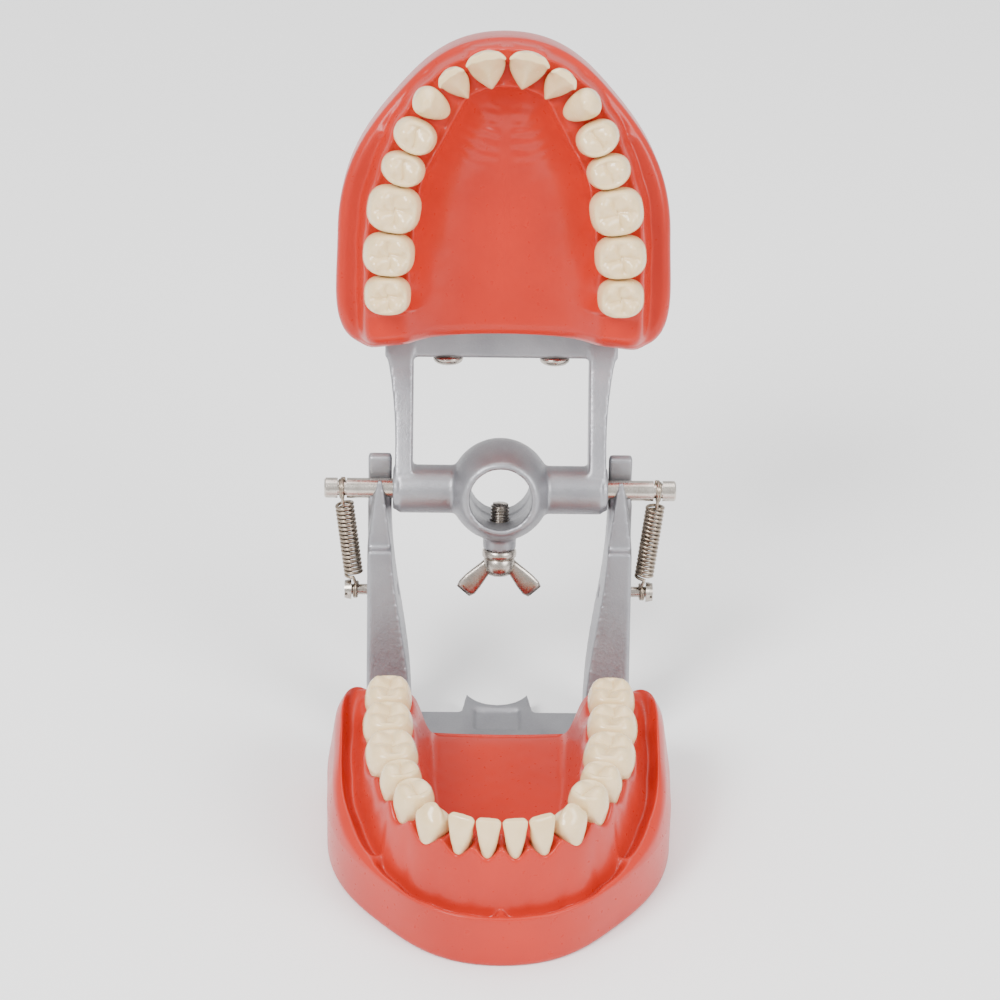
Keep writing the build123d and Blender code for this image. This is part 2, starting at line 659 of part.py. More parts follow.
with BuildPart() as wing_screw:
    with BuildSketch(CLAMP.offset(TIP_AT)):
        Circle(SCREW_R)
    extrude(amount=HUB_START - TIP_AT)
    with BuildSketch(CLAMP.offset(HUB_START)):
        Circle(HUB_R)
    extrude(amount=HUB_LENGTH)
    with BuildSketch(UP):
        for side in (1, -1):
            with BuildLine():
                Polyline(
                    (side * 1.6, -HUB_START),
                    (side * 3.4, -HUB_START),
                    (side * 6.4, -HUB_START - 2.6),
                    (side * 9.2, -HUB_START - 6.1),
                    (side * 6.2, -HUB_START - 8.8),
                    (side * 3.9, -HUB_START - 6.2),
                    (side * 2.2, -HUB_START - 3.6),
                    close=True,
                )
            make_face()
    extrude(amount=WING_T / 2, both=True)
finish(wing_screw, "wing_screw")

# ---- screws that hold the lower jaw to its plate, flush underneath ----
with BuildPart() as lower_jaw_screws:
    for radius, length in ((JAW_SCREW_HEAD_R, JAW_SCREW_HEAD_H), (JAW_SCREW_R, JAW_SCREW_LENGTH)):
        with BuildSketch(LOW.offset(JAW_SCREW_RECESS)):
            for side in (1, -1):
                with Locations((side * JAW_SCREW_X, JAW_SCREW_P)):
                    Circle(radius)
        extrude(amount=length)
finish(lower_jaw_screws, "lower_jaw_screws")
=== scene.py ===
import json
import math

import bmesh
import bpy
import numpy as np
from mathutils import Matrix, Vector
from mathutils.bvhtree import BVHTree


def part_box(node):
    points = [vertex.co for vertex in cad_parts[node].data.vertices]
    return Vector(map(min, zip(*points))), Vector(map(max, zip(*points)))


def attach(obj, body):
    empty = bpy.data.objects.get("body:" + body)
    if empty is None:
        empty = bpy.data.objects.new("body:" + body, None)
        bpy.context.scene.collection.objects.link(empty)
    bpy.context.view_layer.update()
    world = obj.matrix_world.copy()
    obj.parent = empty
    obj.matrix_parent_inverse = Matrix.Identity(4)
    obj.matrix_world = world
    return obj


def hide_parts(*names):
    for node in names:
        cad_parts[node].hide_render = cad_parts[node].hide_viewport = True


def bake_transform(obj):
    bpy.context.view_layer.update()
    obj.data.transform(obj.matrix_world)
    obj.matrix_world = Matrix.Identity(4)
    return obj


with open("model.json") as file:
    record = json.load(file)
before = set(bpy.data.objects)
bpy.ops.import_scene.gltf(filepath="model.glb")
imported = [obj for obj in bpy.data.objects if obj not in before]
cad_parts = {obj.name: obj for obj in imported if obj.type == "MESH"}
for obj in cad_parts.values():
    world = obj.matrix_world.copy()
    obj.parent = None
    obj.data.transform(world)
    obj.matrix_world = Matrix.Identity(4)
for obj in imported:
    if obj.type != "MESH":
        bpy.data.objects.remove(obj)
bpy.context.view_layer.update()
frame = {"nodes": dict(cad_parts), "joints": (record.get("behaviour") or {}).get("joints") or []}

MM = 0.001
joints = {j["name"]: j for j in frame["joints"]}
nodes = frame["nodes"]

# ---- jaw axes, read from the frame: x across, p forwards from the hinge, n towards the teeth ----
HINGE = np.array(joints["jaw_hinge"]["pos_m"]) / MM
CLAMP_AXIS = np.array(joints["clamp_turn"]["axis"])
X_AXIS = np.array([1.0, 0.0, 0.0])
UPPER_P = -CLAMP_AXIS
UPPER_N = np.cross(X_AXIS, UPPER_P)
LOWER_P = np.array([0.0, -1.0, 0.0])
LOWER_N = np.array([0.0, 0.0, 1.0])
LOWER_ORIGIN = np.array([0.0, HINGE[1], 0.0])

TOOTH_ORDER = [
    "central_incisor", "lateral_incisor", "canine", "first_premolar",
    "second_premolar", "first_molar", "second_molar", "third_molar",
]
# ---- sizes in millimetres, and counts, that the frame does not state ----
PLATE_T = 4.1
LOWER_MOUTH_HALF = 22.0
UPPER_MOUTH_HALF = 24.0
RIM_STEPS = 400
RAY_REACH = 90
OUTLINE_INSET = 0.03
OUTLINE_BLUR = 1.6


class Jaw:
    """One jaw's axes, and the places of its teeth and slab, read from the CAD nodes."""

    def __init__(self, name, origin, p_axis, n_axis, mouth_half):
        self.name = name
        self.body = name + "_jaw"
        self.origin = origin
        self.axes = np.array([X_AXIS, p_axis, n_axis])
        self.mouth_half = mouth_half
        base = self.local(name + "_base")
        gum = self.local(name + "_gingiva")
        self.bottom = base[:, 2].min()
        self.foot = base[:, 2].max()
        self.ridge = gum[:, 2].max()
        self.rear = base[:, 1].min()
        self.outline = self.radial_outline(base)
        self.teeth = [self.tooth("right_" + t, t) for t in reversed(TOOTH_ORDER)]
        self.teeth += [self.tooth("left_" + t, t) for t in TOOTH_ORDER]
        self.bite = max(t["top"] for t in self.teeth)
        self.set_turns()

    def local(self, node):
        """A node's vertices in jaw axes, in millimetres."""
        co = np.array([v.co for v in nodes[node].data.vertices]) / MM
        return (co - self.origin) @ self.axes.T

    def world(self, points):
        """Jaw-axis points in millimetres as shared-frame points in metres."""
        return (np.asarray(points) @ self.axes + self.origin) * MM

    def radial_outline(self, base):
        """Radius of the slab's outer wall about its centre, at evenly spaced angles."""
        self.centre = np.array([0.0, (base[:, 1].min() + base[:, 1].max()) / 2])
        faces = [tuple(p.vertices) for p in nodes[self.name + "_base"].data.polygons]
        tree = BVHTree.FromPolygons([Vector(v) for v in base], faces)
        middle = Vector((*self.centre, self.bottom + 0.7 * (self.foot - self.bottom)))
        radius = []
        for theta in np.linspace(-np.pi, np.pi, RIM_STEPS, endpoint=False):
            out = Vector((math.cos(theta), math.sin(theta), 0))
            hit = tree.ray_cast(middle + out * RAY_REACH, -out)[0]
            radius.append((hit - middle).length)
        kernel = np.exp(-0.5 * (np.arange(-5, 6) / OUTLINE_BLUR) ** 2)
        padded = np.concatenate([radius[-5:], radius, radius[:5]])
        return np.convolve(padded, kernel / kernel.sum(), mode="valid") - OUTLINE_INSET

    def tooth(self, label, kind):
        """Name, kind, centre, crown points and top level of one tooth."""
        name = f"{self.name}_{label}"
        co = self.local(name)
        root = co[co[:, 2] < self.foot + 0.2]
        crown = co[co[:, 2] > self.ridge - 0.1]
        return dict(name=name, kind=kind, at=root[:, :2].mean(0), crown=crown, top=co[:, 2].max())

    def set_turns(self):
        """Each tooth's direction along the arch, from its neighbours' centres, and its width and depth."""
        at = np.array([t["at"] for t in self.teeth])
        if at[0][0] > at[-1][0]:
            self.teeth.reverse()
            at = at[::-1]
        ends = [2 * at[0] - at[1]], [2 * at[-1] - at[-2]]
        chain = np.concatenate([ends[0], at, ends[1]])
        for i, t in enumerate(self.teeth):
            along = chain[i + 2] - chain[i]
            along /= np.hypot(*along)
            out = np.array([-along[1], along[0]])
            flat = t["crown"][:, :2] - t["at"]
            t["along"], t["out"] = along, out
            t["width"] = np.ptp(flat @ along)
            t["depth"] = np.ptp(flat @ out)
        self.chain = chain


def new_mesh(name, verts, faces):
    """A smooth-shaded mesh object from shared-frame points in metres."""
    mesh = bpy.data.meshes.new(name)
    mesh.from_pydata([tuple(v) for v in verts], [], [tuple(f) for f in faces])
    mesh.validate()
    shell = bmesh.new()
    shell.from_mesh(mesh)
    bmesh.ops.recalc_face_normals(shell, faces=shell.faces)
    shell.to_mesh(mesh)
    shell.free()
    mesh.update()
    mesh.polygons.foreach_set("use_smooth", [True] * len(mesh.polygons))
    obj = bpy.data.objects.new(name, mesh)
    bpy.context.scene.collection.objects.link(obj)
    return obj


def ring_faces(rings, steps):
    """Quads between consecutive closed rings of equal length."""
    faces = []
    for r in range(rings - 1):
        a = r * steps
        b = a + steps
        for i in range(steps):
            j = (i + 1) % steps
            faces.append((a + i, a + j, b + j, b + i))
    return faces


def capped_faces(rings, steps):
    """Quads between rings, with a face over the first ring and the last."""
    last = (rings - 1) * steps
    caps = [tuple(reversed(range(steps))), tuple(last + i for i in range(steps))]
    return ring_faces(rings, steps) + caps


def place(obj, body, slot, material, *replaced):
    """Give a new piece its material and body, and hide the CAD nodes it stands for."""
    obj.data.materials.clear()
    obj.data.materials.append(material)
    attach(obj, body)
    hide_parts(*replaced)
    return obj


def smoothstep(value, low, high):
    """0 up to low, 1 from high, and a smooth rise between."""
    t = np.clip((value - low) / (high - low), 0, 1)
    return t * t * (3 - 2 * t)


# ---- materials ----
class Material:
    """A principled material with helpers for noise-driven colour, roughness and bump."""

    def __init__(self, name, **inputs):
        self.mat = bpy.data.materials.new(name)
        self.mat.use_nodes = True
        self.tree = self.mat.node_tree
        self.shader = self.tree.nodes["Principled BSDF"]
        self.coord = self.tree.nodes.new("ShaderNodeTexCoord").outputs["Object"]
        for key, value in inputs.items():
            self.shader.inputs[key.replace("_", " ")].default_value = value

    def noise(self, scale, detail=4.0, stretch=(1, 1, 1)):
        """Output of a noise texture over the object's own coordinates."""
        mapping = self.tree.nodes.new("ShaderNodeMapping")
        mapping.inputs["Scale"].default_value = stretch
        self.tree.links.new(self.coord, mapping.inputs["Vector"])
        node = self.tree.nodes.new("ShaderNodeTexNoise")
        node.inputs["Scale"].default_value = scale
        node.inputs["Detail"].default_value = detail
        self.tree.links.new(mapping.outputs["Vector"], node.inputs["Vector"])
        return node.outputs["Fac"]

    def ramp(self, source, stops, target=None):
        """Map an output to (position, colour) stops, and on to a shader input where one is named."""
        node = self.tree.nodes.new("ShaderNodeValToRGB")
        points = node.color_ramp.elements
        while len(points) < len(stops):
            points.new(0.5)
        for point, (position, colour) in zip(points, stops):
            point.position = position
            point.color = (*colour, 1)
        self.tree.links.new(source, node.inputs["Fac"])
        if target:
            self.tree.links.new(node.outputs["Color"], self.shader.inputs[target])
        return node.outputs["Color"]

    def mix(self, factor, first, second, target=None):
        """Blend two colour outputs by a factor output."""
        node = self.tree.nodes.new("ShaderNodeMix")
        node.data_type = "RGBA"
        self.tree.links.new(factor, node.inputs["Factor"])
        self.tree.links.new(first, node.inputs["A"])
        self.tree.links.new(second, node.inputs["B"])
        if target:
            self.tree.links.new(node.outputs["Result"], self.shader.inputs[target])
        return node.outputs["Result"]

    def bump(self, *layers):
        """Bump from (height output, strength, distance in metres) layers."""
        normal = None
        for source, strength, distance in layers:
            node = self.tree.nodes.new("ShaderNodeBump")
            node.inputs["Strength"].default_value = strength
            node.inputs["Distance"].default_value = distance
            self.tree.links.new(source, node.inputs["Height"])
            if normal:
                self.tree.links.new(normal, node.inputs["Normal"])
            normal = node.outputs["Normal"]
        self.tree.links.new(normal, self.shader.inputs["Normal"])


def grey(v):
    """A grey of one value."""
    return (v, v, v)


def make_gum(name, tint):
    """Glossy coral-red moulded plastic, slightly translucent, with soft mottling."""
    m = Material(name, Roughness=0.30, IOR=1.45, Specular_IOR_Level=0.3, Coat_Weight=0.1, Coat_Roughness=0.10,
                 Subsurface_Weight=0.06, Subsurface_Scale=0.0012)
    m.shader.inputs["Subsurface Radius"].default_value = (1.0, 0.35, 0.25)
    broad = m.noise(55, 3)
    m.ramp(broad, [(0.3, [c * 0.93 for c in tint]), (0.7, [min(1, c * 1.07) for c in tint])], "Base Color")
    fine = m.noise(900, 5)
    m.ramp(fine, [(0.3, grey(0.27)), (0.7, grey(0.32))], "Roughness")
    m.bump((m.noise(110, 2), 0.05, 0.0004), (m.noise(2600, 2), 0.02, 0.00004))
    return m.mat


def make_tooth():
    """Polished ivory resin, faintly streaked, with painted shade: darker and warmer in the fissures and at
    the neck.
    """
    m = Material("ivory_resin", Roughness=0.22, IOR=1.5, Coat_Weight=0.3, Coat_Roughness=0.08,
                 Subsurface_Weight=0.18, Subsurface_Scale=0.0015)
    m.shader.inputs["Subsurface Radius"].default_value = (1.0, 0.75, 0.45)
    geometry = m.tree.nodes.new("ShaderNodeNewGeometry").outputs["Pointiness"]
    clouds = m.noise(240, 3)
    pale = m.ramp(clouds, [(0.3, (0.77, 0.57, 0.30)), (0.7, (0.83, 0.64, 0.37))])
    # painted shade: where the crown's surface is hollow (low pointiness), the colour turns to this darker,
    # warmer ivory
    painted_hollow_shade = m.ramp(clouds, [(0.3, (0.60, 0.38, 0.15)), (0.7, (0.68, 0.46, 0.20))])
    hollow_shade_mask = m.ramp(geometry, [(0.40, grey(1.0)), (0.485, grey(0.0))])
    m.mix(hollow_shade_mask, pale, painted_hollow_shade, "Base Color")
    m.ramp(m.noise(1200, 4), [(0.3, grey(0.17)), (0.7, grey(0.28))], "Roughness")
    m.bump((m.noise(700, 3, (1, 1, 0.35)), 0.10, 0.00012))
    return m.mat


def make_cast():
    """Satin sand-cast aluminium with a fine pitted grain and softly worn edges."""
    m = Material("cast_aluminium", Metallic=0.85, Roughness=0.45)
    clouds = m.noise(90, 4)
    m.ramp(clouds, [(0.3, (0.28, 0.28, 0.30)), (0.7, (0.37, 0.37, 0.39))], "Base Color")
    grain = m.noise(2300, 5)
    m.ramp(grain, [(0.35, grey(0.38)), (0.65, grey(0.52))], "Roughness")
    m.bump((m.noise(420, 4), 0.22, 0.00025), (grain, 0.35, 0.00012))
    return m.mat


def make_steel(name, dark, light, rough, stretch=(1, 1, 1)):
    """Turned or drawn steel with fine marks."""
    m = Material(name, Metallic=1.0, Roughness=rough)
    m.ramp(m.noise(300, 4), [(0.3, dark), (0.7, light)], "Base Color")
    marks = m.noise(1800, 4, stretch)
    m.ramp(marks, [(0.3, grey(rough * 0.75)), (0.7, grey(rough * 1.3))], "Roughness")
    m.bump((marks, 0.15, 0.00005))
    return m.mat


CORAL = (0.47, 0.022, 0.010)
GUM = make_gum("coral_gum", CORAL)
SLAB = make_gum("coral_slab", CORAL)
IVORY = make_tooth()
CAST = make_cast()
PIN_STEEL = make_steel("turned_steel", (0.50, 0.46, 0.41), (0.66, 0.61, 0.55), 0.26, (9, 1, 1))
WIRE_STEEL = make_steel("spring_wire", (0.26, 0.21, 0.16), (0.42, 0.35, 0.28), 0.30)
SCREW_STEEL = make_steel("plated_steel", (0.36, 0.32, 0.28), (0.52, 0.47, 0.42), 0.28)


# ---- gum ridge: a height field over the slab, in jaw axes and millimetres ----
GUM_RINGS = 170
RIM_GAPS = [0.0, 0.04, 0.12, 0.26, 0.45, 0.7, 1.0, 1.35, 1.7]
RIM_ROUND = 1.7
NEAR_RIM = 1.5
NEAREST_BATCHES = 24
ROW_STEPS = 14
TOOTH_GAP = 0.35
MIDLINE = 7.5
MARGIN_SHARE = 0.86
RISE_START = 86
RISE_LENGTH = 48
UPPER_RIM = 5.0
UPPER_RIM_RISE = 0.8
LOWER_RIM = 0.7
LOWER_RIM_RISE = 14.2
PALATE_DEPTH = 9.2
PALATE_RISE = 1.8
PALATE_REACH = 14.5
FOLD_HEIGHT = 0.30
FOLD_RATE = 1.25
RAPHE_HEIGHT = 0.10
RAPHE_HALF_WIDTH = 0.9
TONGUE_FLOOR = 0.30
UPPER_LEAN = 0.02
LOWER_LEAN = 0.17
LEAN_REACH = 4.5
GUM_UNDERCUT = 2.6
CENTRE_EDGE = 30.0
# place along the row, half width in teeth and height of each fold that crosses the trough
FRENA = [(7.5, 0.13, 3.0), (3.6, 0.09, 2.4), (11.4, 0.09, 2.4)]
UPPER_FRENA_SHARE = 0.3


def arch_samples(jaw):
    """Points along the smooth line through the tooth centres, each with its place along the row."""
    chain = jaw.chain
    first = 2 * chain[0] - chain[1]
    last = 2 * chain[-1] - chain[-2]
    pts = np.concatenate([[first], chain, [last]])
    line, row = [], []
    for i in range(1, len(pts) - 2):
        a, b, c, d = pts[i - 1 : i + 3]
        for k in range(ROW_STEPS):
            t = k / ROW_STEPS
            square = (2 * a - 5 * b + 4 * c - d) * t**2
            cube = (3 * b - a - 3 * c + d) * t**3
            line.append(0.5 * (2 * b + (c - a) * t + square + cube))
            row.append(i - 2 + t)
    return np.array(line), np.array(row)


def along_and_off(jaw, xy):
    """For each point: distance off the arch (outside is positive), place along the row, run past its end."""
    line, row = arch_samples(jaw)
    gap = xy[:, None, :] - line[None, :, :]
    near = (gap**2).sum(2).argmin(1)
    ahead = np.clip(near + 1, 0, len(line) - 1)
    behind = np.clip(near - 1, 0, len(line) - 1)
    tangent = line[ahead] - line[behind]
    tangent /= np.linalg.norm(tangent, axis=1, keepdims=True)
    off = xy - line[near]
    side = tangent[:, 0] * off[:, 1] - tangent[:, 1] * off[:, 0]
    slide = (off * tangent).sum(1)
    widths = [t["width"] + TOOTH_GAP for t in jaw.teeth]
    spacing = np.interp(row[near], np.arange(len(widths)), widths)
    beyond = np.where((near == 0) | (near == len(line) - 1), np.abs(slide), 0)
    return side, row[near] + slide / spacing, beyond


def half_depth(jaw, row):
    """Half the depth of the teeth at each place along the row."""
    return np.interp(row, np.arange(len(jaw.teeth)), [t["depth"] / 2 for t in jaw.teeth])


def fine_noise(xy, scale, seed):
    """Smooth repeatable waviness between -1 and 1."""
    rng = np.random.default_rng(seed)
    total = np.zeros(len(xy))
    for _ in range(6):
        direction = rng.normal(size=2)
        total += np.sin(xy @ direction * scale + rng.uniform(0, 6.28))
    return total / 6


def outer_gum(upper, xy, edge, d, margin, roots, back):
    """Height outside the teeth: rolled margin, root bulges, trough and rim."""
    if upper:
        rim = UPPER_RIM + UPPER_RIM_RISE * back
        trough = rim - 0.15 - 0.2 * back
    else:
        rim = LOWER_RIM + LOWER_RIM_RISE * back
        trough = rim - 1.7 - 2.8 * back * (1 - 0.75 * smoothstep(44 - xy[:, 1], 0, 12))
    share = np.clip(d - roots * 0.6, 0, None) / np.maximum(d + edge, 0.1)
    roll = 0.35 * smoothstep(d, 0.0, 0.7)
    down = smoothstep(share, 0.03, 0.34)
    up = smoothstep(share, 0.36, 0.82)
    profile = (margin - roll) * (1 - down) + trough * down
    return profile * (1 - up) + rim * up


def palate(xy, d, front, top):
    """The palate's vault with folds and raphe, and each point's share of the way down to it."""
    across = np.abs(xy[:, 0])
    vault = top - PALATE_DEPTH + PALATE_RISE * smoothstep(xy[:, 1], 60, 84)
    fall = 1 - (1 - np.clip(d / (PALATE_REACH - 4.0 * front), 0, 1)) ** 2.4
    wave = xy[:, 1] - 0.05 * xy[:, 0] ** 2 + 0.9 * fine_noise(xy, 0.32, 3) + 0.10 * across
    folds = FOLD_HEIGHT * np.sin(FOLD_RATE * wave) ** 2 * smoothstep(xy[:, 1], 66, 74)
    folds *= smoothstep(d, 1.5, 4.5) * smoothstep(across, 0.6, 2.4)
    raphe = RAPHE_HEIGHT * np.exp(-((xy[:, 0] / RAPHE_HALF_WIDTH) ** 2)) * smoothstep(d, 4, 8)
    return vault + raphe + folds + 0.14 * fine_noise(xy, 0.24, 11), fall


def tongue_space(xy, d):
    """The flat floor inside the lower row, and each point's share of the way down to it."""
    return np.full(len(xy), TONGUE_FLOOR), smoothstep(d, 0.5, 5.4) ** 0.9


def gum_height(jaw, xy, edge):
    """Height of the gum over the slab's top; edge is the distance in from the outline."""
    off, row, beyond = along_and_off(jaw, xy)
    upper = jaw.name == "upper"
    half = half_depth(jaw, row)
    top = jaw.ridge - jaw.foot
    between = np.abs(row - np.round(row)) * 2
    in_row = (row > -0.5) & (row < len(jaw.teeth) - 0.5)
    front = 1 - smoothstep(np.abs(row - MIDLINE), 3.0, 5.5)
    back = smoothstep(RISE_START - xy[:, 1], 0, RISE_LENGTH)
    outside = off > 0
    inner_margin = half * (MARGIN_SHARE + 0.42 * front) if upper else half * MARGIN_SHARE
    margin_at = np.where(outside, MARGIN_SHARE * half, inner_margin)
    d = np.maximum(np.abs(off) - margin_at, 0)

    # the margin: points of gum between the teeth, deeper at the lower front, and a fall behind the last molar
    lower_front = 0.0 if upper else front
    point_height = 1.8 + 1.5 * lower_front
    neck_drop = 0.45 + 0.9 * lower_front
    scallop = np.where(in_row, point_height * between**1.6 - neck_drop, 0.3)
    flatten = np.where(upper & ~outside, 1 - 0.7 * front, 1)
    papilla = scallop * (1 - smoothstep(d, 0.3, 2.6)) * flatten
    tail = smoothstep(beyond, 1.0, 8.0)
    margin = top + papilla - (2.2 if upper else 0.8) * tail
    roots = np.where(in_row, 0.75 * (1 - between**2), 0) * (0.5 + 0.5 * front)

    out_profile = outer_gum(upper, xy, edge, d, margin, roots, back)
    floor, fall = palate(xy, d, front, top) if upper else tongue_space(xy, d)
    in_profile = (margin - 0.4 * smoothstep(d, 0.0, 0.7)) * (1 - fall) + floor * fall
    height = np.where(outside, out_profile, in_profile)
    height = height - 0.35 * (d <= 0) * smoothstep(margin_at - np.abs(off), 0, 1.2)

    # the rounded edge
    behind = smoothstep(jaw.rear + 9 - xy[:, 1], 0, 9)
    round_at = RIM_ROUND + 1.2 * behind + (0.4 if upper else 3.2 * back)
    turned = np.clip(round_at - edge, 0, round_at)
    rounding = round_at - np.sqrt(round_at**2 - turned**2)
    height = height - rounding * np.clip(height / (round_at + 1.5), 0.12, 1)
    return height + 0.04 * fine_noise(xy, 0.9, 5) * smoothstep(edge, 0.5, 2)


def add_frena(jaw, xy, height, edge):
    """Small folds of gum that cross the trough at the midline and beside the premolars."""
    off, row, _ = along_and_off(jaw, xy)
    d = np.maximum(off - MARGIN_SHARE * half_depth(jaw, row), 0)
    share = d / np.maximum(d + edge, 0.1)
    across_trough = smoothstep(share, 0.10, 0.32) * (1 - smoothstep(share, 0.40, 0.80)) * (off > 0)
    tall_share = 1.0 if jaw.name == "lower" else UPPER_FRENA_SHARE
    for place_at, wide, tall in FRENA:
        fold = tall * np.exp(-(((row - place_at) / wide) ** 2))
        height = height + tall_share * fold * across_trough
    return height


def soften(grid):
    """Round off a ring-by-ring height grid, as a polished mould would."""
    for _ in range(3):
        grid = (np.roll(grid, 1, 1) + 2 * grid + np.roll(grid, -1, 1)) / 4
        grid[1:-8] = (grid[:-9] + 2 * grid[1:-8] + grid[2:-7]) / 4
    return grid


def rim_points(jaw):
    """Evenly turned outward directions from the slab's centre, and the outline's point on each."""
    theta = np.linspace(-np.pi, np.pi, RIM_STEPS, endpoint=False)
    unit = np.stack([np.cos(theta), np.sin(theta)], 1)
    return unit, jaw.centre + unit * jaw.outline[:, None]


def gum_grid(jaw, unit, rim):
    """Rings of points from near the centre to the rim, and each point's distance in from the outline."""
    tangent = np.roll(rim, -1, 0) - np.roll(rim, 1, 0)
    tangent /= np.linalg.norm(tangent, axis=1, keepdims=True)
    facing = np.abs(tangent[:, 0] * unit[:, 1] - tangent[:, 1] * unit[:, 0])
    radii = [(jaw.outline - RIM_GAPS[-1]) * s for s in (np.arange(GUM_RINGS) + 1) / GUM_RINGS]
    radii += [jaw.outline - gap for gap in reversed(RIM_GAPS[:-1])]
    xy = np.concatenate([jaw.centre + unit * r[:, None] for r in radii])
    gap = np.concatenate([(jaw.outline - r) * facing for r in radii])
    nearest = np.concatenate([
        np.sqrt(((part[:, None, :] - rim[None, :, :]) ** 2).sum(2).min(1))
        for part in np.array_split(xy, NEAREST_BATCHES)
    ])
    return xy, np.where(gap < NEAR_RIM, gap, np.minimum(gap, nearest))


def make_gum_ridge(jaw):
    """Gum as a height field whose rim turns down into the slab's wall."""
    unit, rim = rim_points(jaw)
    xy, edge = gum_grid(jaw, unit, rim)
    height = add_frena(jaw, xy, gum_height(jaw, xy, edge), edge)
    height = soften(height.reshape(-1, RIM_STEPS)).reshape(-1)
    height = np.where(edge < 0.3, np.maximum(height, 0.12), np.maximum(height, -2.0))

    lean_share = UPPER_LEAN if jaw.name == "upper" else LOWER_LEAN
    lean = lean_share * np.clip(height, 0, None) * (1 - smoothstep(edge, 0.0, LEAN_REACH))
    pull = jaw.centre - xy
    pull /= np.maximum(np.linalg.norm(pull, axis=1, keepdims=True), 0.1)
    top = np.column_stack([xy + pull * lean[:, None], jaw.foot + height])

    middle = jaw.foot + gum_height(jaw, jaw.centre[None, :], np.array([CENTRE_EDGE]))[0]
    under = jaw.foot - GUM_UNDERCUT
    shrunk = jaw.centre + unit * (jaw.outline - 0.4)[:, None]
    wall = [np.column_stack([rim, np.full(RIM_STEPS, jaw.foot + level)]) for level in (0.06, 0.0)]
    wall.append(np.column_stack([shrunk, np.full(RIM_STEPS, under)]))
    verts = np.concatenate([top, *wall, [[*jaw.centre, middle], [*jaw.centre, under]]])

    rings = len(xy) // RIM_STEPS + len(wall)
    faces = ring_faces(rings, RIM_STEPS)
    top_centre, under_centre = len(verts) - 2, len(verts) - 1
    last = (rings - 1) * RIM_STEPS
    for i in range(RIM_STEPS):
        j = (i + 1) % RIM_STEPS
        faces.append((top_centre, j, i))
        faces.append((under_centre, last + i, last + j))
    obj = new_mesh(jaw.name + "_gum_ridge", jaw.world(verts), faces)
    return place(obj, jaw.body, "gingiva", GUM, jaw.name + "_gingiva")


# ---- slab ----
SLAB_RIM = 3.9
POCKET_WALL = 4.1
POCKET_REACH = 12.0
SLAB_TOP_DROP = 2.7
MOUTH_PLAY = 0.3
MOUTH_BEHIND_CENTRE = 15


def make_slab(jaw):
    """The slab's wall with rounded rims, a rim round the plate pocket and a mouth at the rear."""
    bottom, foot = jaw.bottom, jaw.foot
    roof = bottom + PLATE_T
    # (distance in from the outline, level), from inside the gum down the wall and up into the pocket
    profile = [
        (8.0, foot - SLAB_TOP_DROP), (0.45, foot - SLAB_TOP_DROP), (0.06, foot - 0.01),
        (0.0, foot - 0.05), (0.0, foot - 0.12), (0.0, foot - 2.5), (0.0, (foot + bottom) / 2),
        (0.0, bottom + 1.2), (0.12, bottom + 0.5), (0.4, bottom + 0.12), (0.8, bottom),
        (SLAB_RIM, bottom), (POCKET_WALL, bottom + 0.2), (POCKET_WALL, roof), (POCKET_REACH, roof),
    ]
    unit, _ = rim_points(jaw)
    rings = []
    for inset, level in profile:
        xy = jaw.centre + unit * (jaw.outline - inset)[:, None]
        at_rear = xy[:, 1] < jaw.centre[1] - MOUTH_BEHIND_CENTRE
        at_mouth = (np.abs(xy[:, 0]) < jaw.mouth_half + MOUTH_PLAY) & at_rear
        z = np.where(at_mouth, max(level, roof), level)
        rings.append(np.column_stack([xy, z]))
    faces = ring_faces(len(profile), RIM_STEPS)
    obj = new_mesh(jaw.name + "_slab", jaw.world(np.concatenate(rings)), faces)
    return place(obj, jaw.body, "gum_base", SLAB, jaw.name + "_base")


# ---- teeth ----
TOOTH_STEPS = 56
CROWN_LEVELS = 26
BACK_CAP_RINGS = 18
FRONT_CAP_RINGS = 7
# cusps: place across and along the crown as shares of its half sizes, and height share
MOLAR_CUSPS = [(-0.50, 0.56, 1.0), (0.46, 0.54, 0.94), (-0.46, -0.56, 0.96), (0.50, -0.54, 0.86)]
PREMOLAR_CUSPS = [(0.0, 0.56, 1.0), (0.0, -0.58, 0.84)]
LOBE_RATE = 6.28 * 1.5
# levels from below the gum to the bite: share of height, width, outer face, inner face, squareness
UPPER_INCISOR = [
    (-0.35, 0.80, 0.62, -1.25, 2.0),
    (0.0, 0.90, 0.74, -1.40, 2.0),
    (0.2, 0.95, 0.84, -1.22, 2.0),
    (0.45, 0.98, 0.90, -0.62, 2.2),
    (0.7, 1.0, 0.94, -0.05, 2.4),
    (0.93, 1.0, 0.93, 0.38, 2.6),
    (1.0, 0.98, 0.86, 0.50, 2.6),
]
LOWER_INCISOR = [
    (-0.35, 0.58, 0.74, -0.80, 2.1),
    (0.0, 0.68, 0.88, -0.90, 2.1),
    (0.2, 0.79, 0.96, -0.88, 2.2),
    (0.45, 0.89, 0.86, -0.60, 2.4),
    (0.75, 0.98, 0.66, -0.28, 2.8),
    (0.93, 1.0, 0.50, -0.10, 3.2),
    (1.0, 0.98, 0.40, 0.0, 3.2),
]
# the same without the squareness, which differs between premolars and molars
BACK_TOOTH = [
    (-0.35, 0.74, 0.74, -0.74),
    (0.0, 0.86, 0.88, -0.88),
    (0.3, 0.98, 1.0, -0.99),
    (0.5, 1.0, 0.99, -1.0),
    (0.68, 0.98, 0.92, -0.93),
    (0.82, 0.93, 0.82, -0.84),
]


def is_back(kind):
    """True for premolars and molars."""
    return "molar" in kind


def is_molar(kind):
    return is_back(kind) and "pre" not in kind


